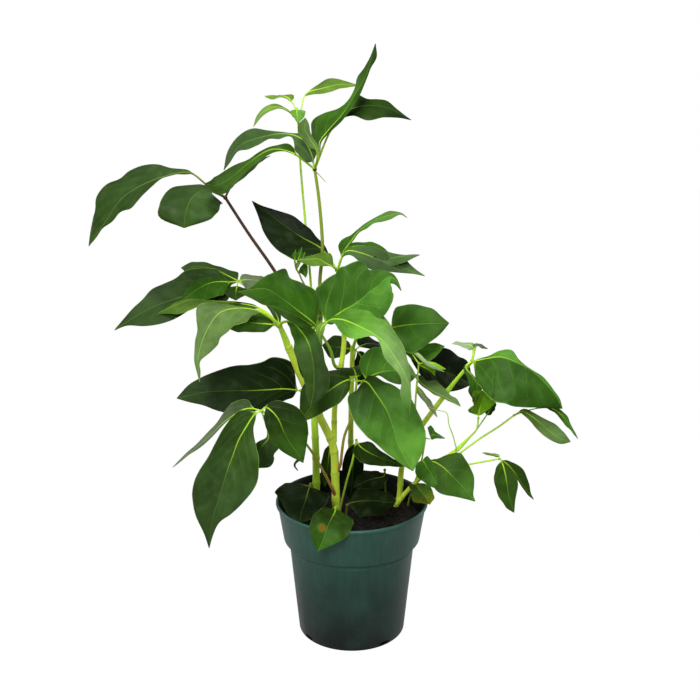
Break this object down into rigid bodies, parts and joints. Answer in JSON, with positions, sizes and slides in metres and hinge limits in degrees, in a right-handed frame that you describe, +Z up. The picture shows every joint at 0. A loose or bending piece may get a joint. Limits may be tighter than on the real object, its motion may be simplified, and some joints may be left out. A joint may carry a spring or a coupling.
{
  "type": "potted philodendron",
  "caption": "Climbing aroid house plant with stalked, hand-shaped compound leaves on thick green stems, growing in dark soil in a tapered plastic nursery pot.",
  "frame": {"origin": "middle of the pot's flat base", "axes": "+Z up along the axis of the pot, -Y towards the side that the picture shows, +X to its right"},
  "size_m": [0.4906, 0.2124, 0.6275],
  "materials": {
    "pot_plastic": "dark green moulded plastic with a slight gloss",
    "potting_soil": "dark, damp, crumbly potting mix",
    "stem_green": "smooth yellow-green skin, a little waxy",
    "leaf_green": "deep green leaf with a satin upper side and paler veins",
    "leaf_young_green": "light green young leaf, satin"
  },
  "bodies": {
    "root": {"pot": "pot_plastic", "soil": "potting_soil", "stem_main": "stem_green", "stem_back_left": "stem_green", "stem_back": "stem_green", "stem_right": "stem_green", "stem_low_right": "stem_green", "leaf_crown": "leaf_green", "leaf_upper_left": "leaf_green", "leaf_centre_high": "leaf_green", "leaf_centre": "leaf_green", "leaf_left_front": "leaf_green", "leaf_mid_left": "leaf_green", "leaf_left_broad": "leaf_green", "leaf_low_left": "leaf_green", "leaf_centre_front": "leaf_green", "leaf_back": "leaf_green", "leaf_right": "leaf_green", "leaf_right_hanging": "leaf_green", "leaf_right_front": "leaf_green", "leaf_small_right": "leaf_green", "leaf_pot_left": "leaf_green", "leaf_pot_front": "leaf_green", "leaf_pot_centre": "leaf_green", "leaf_pot_right": "leaf_green", "leaf_pot_back": "leaf_green", "leaf_behind": "leaf_green", "leaf_young_top": "leaf_young_green", "leaf_right_inner": "leaf_young_green", "leaf_right_lobed": "leaf_young_green", "leaf_right_low": "leaf_young_green", "leaf_pot_yellow": "leaf_young_green", "young_shoot": "leaf_young_green"}
  },
  "joints": []
}
